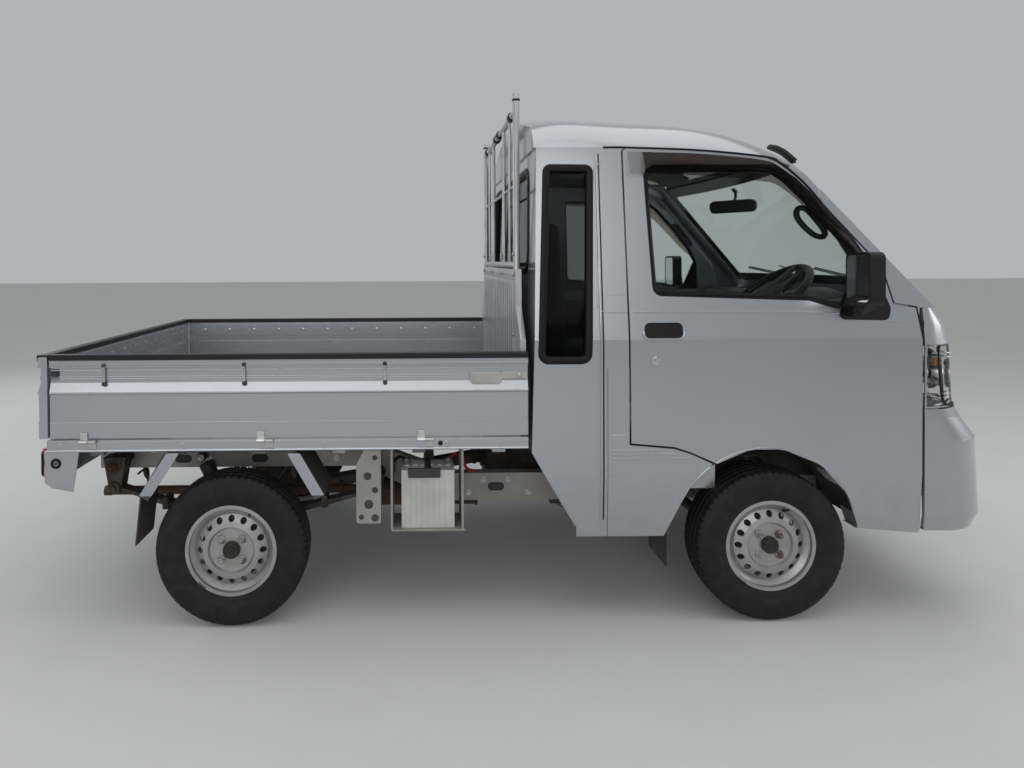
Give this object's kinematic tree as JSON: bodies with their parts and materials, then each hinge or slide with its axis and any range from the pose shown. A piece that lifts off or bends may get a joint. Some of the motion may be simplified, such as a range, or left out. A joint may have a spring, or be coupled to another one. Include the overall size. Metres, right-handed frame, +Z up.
{
  "type": "kei truck",
  "caption": "Small cab-over pickup truck with hinged doors, steering front wheels, a drop-side load bed and an upright headboard frame behind the cab.",
  "frame": {"origin": "on the ground, under the middle of the whole truck's box", "axes": "+X forward, +Y to the truck's left, +Z up"},
  "size_m": [3.3949, 1.82, 1.8989],
  "materials": {
    "paint": "gloss white",
    "gate_paint": "satin white",
    "chassis": "satin black, dusty",
    "rusty_steel": "rusted",
    "tyre": "matt",
    "rim_steel": "silver paint",
    "glass": "clear",
    "black_plastic": "grained",
    "lamp_clear": "clear",
    "lamp_red": "gloss",
    "seat_cloth": "woven",
    "battery_case": "satin",
    "interior_grey": "grained",
    "iron": "dusty"
  },
  "bodies": {
    "truck": {"cab_rear": "paint", "cab_front": "paint", "roof": "paint", "nose_panel": "paint", "front_bumper": "paint", "cab_floor": "chassis", "windscreen": "glass", "rear_window": "glass", "quarter_windows": "glass", "grille": "black_plastic", "headlamps": "lamp_clear", "dashboard": "interior_grey", "seat_left": "seat_cloth", "seat_right": "seat_cloth", "steering_column": "black_plastic", "bed_floor": "gate_paint", "headboard": "gate_paint", "rear_bumper": "paint", "tail_lamps": "lamp_red", "rear_guards": "chassis", "chassis_frame": "chassis", "front_suspension": "chassis", "rear_axle": "iron", "leaf_springs": "rusty_steel", "engine": "iron", "propeller_shaft": "chassis", "exhaust": "rusty_steel", "fuel_tank": "chassis", "battery": "battery_case", "battery_tray": "chassis"},
    "wheel_front_left": {"tyre_front_left": "tyre", "rim_front_left": "rim_steel"},
    "wheel_front_right": {"tyre_front_right": "tyre", "rim_front_right": "rim_steel"},
    "wheel_rear_left": {"tyre_rear_left": "tyre", "rim_rear_left": "rim_steel"},
    "wheel_rear_right": {"tyre_rear_right": "tyre", "rim_rear_right": "rim_steel"},
    "steer_left": {"knuckle_left": "iron"},
    "steer_right": {"knuckle_right": "iron"},
    "steering_wheel": {"steering_wheel": "black_plastic"},
    "door_left": {"door_left": "paint", "door_glass_left": "glass", "mirror_left": "black_plastic"},
    "door_right": {"door_right": "paint", "door_glass_right": "glass", "mirror_right": "black_plastic"},
    "gate_left": {"gate_left": "gate_paint"},
    "gate_right": {"gate_right": "gate_paint"},
    "tailgate": {"tailgate": "gate_paint"}
  },
  "joints": [
    {"name": "steer_left", "type": "hinge", "parent": "truck", "child": "steer_left", "pos_m": [0.866, 0.56, 0.19], "axis": [0, -0.1004, 0.9949], "range_deg": [-33, 33]},
    {"name": "spin_front_left", "type": "hinge", "parent": "steer_left", "child": "wheel_front_left", "pos_m": [0.866, 0.6525, 0.266], "axis": [0, 1, 0], "continuous": true},
    {"name": "spin_rear_left", "type": "hinge", "parent": "truck", "child": "wheel_rear_left", "pos_m": [-1.034, 0.65, 0.266], "axis": [0, 1, 0], "continuous": true},
    {"name": "door_left_swing", "type": "hinge", "parent": "truck", "child": "door_left", "pos_m": [1.378, 0.726, 0.7], "axis": [0, 0, -1], "range_deg": [0, 65]},
    {"name": "gate_left_fold", "type": "hinge", "parent": "truck", "child": "gate_left", "pos_m": [-0.8, 0.7455, 0.662], "axis": [-1, 0, 0], "range_deg": [0, 175]},
    {"name": "steer_right", "type": "hinge", "parent": "truck", "child": "steer_right", "pos_m": [0.866, -0.56, 0.19], "axis": [0, 0.1004, 0.9949], "range_deg": [-33, 33]},
    {"name": "spin_front_right", "type": "hinge", "parent": "steer_right", "child": "wheel_front_right", "pos_m": [0.866, -0.6525, 0.266], "axis": [0, 1, 0], "continuous": true},
    {"name": "spin_rear_right", "type": "hinge", "parent": "truck", "child": "wheel_rear_right", "pos_m": [-1.034, -0.65, 0.266], "axis": [0, 1, 0], "continuous": true},
    {"name": "door_right_swing", "type": "hinge", "parent": "truck", "child": "door_right", "pos_m": [1.378, -0.726, 0.7], "axis": [0, 0, 1], "range_deg": [0, 65]},
    {"name": "gate_right_fold", "type": "hinge", "parent": "truck", "child": "gate_right", "pos_m": [-0.8, -0.7455, 0.662], "axis": [1, 0, 0], "range_deg": [0, 175]},
    {"name": "tailgate_fold", "type": "hinge", "parent": "truck", "child": "tailgate", "pos_m": [-1.6915, 0, 0.662], "axis": [0, -1, 0], "range_deg": [0, 175]},
    {"name": "steering_wheel_turn", "type": "hinge", "parent": "truck", "child": "steering_wheel", "pos_m": [1.035, -0.35, 1.125], "axis": [-0.6428, 0, 0.766], "range_deg": [-528, 528]}
  ],
  "couplings": [
    {"joint": "steer_right", "follows": "steer_left", "ratio": 1},
    {"joint": "steering_wheel_turn", "follows": "steer_left", "ratio": 16}
  ]
}
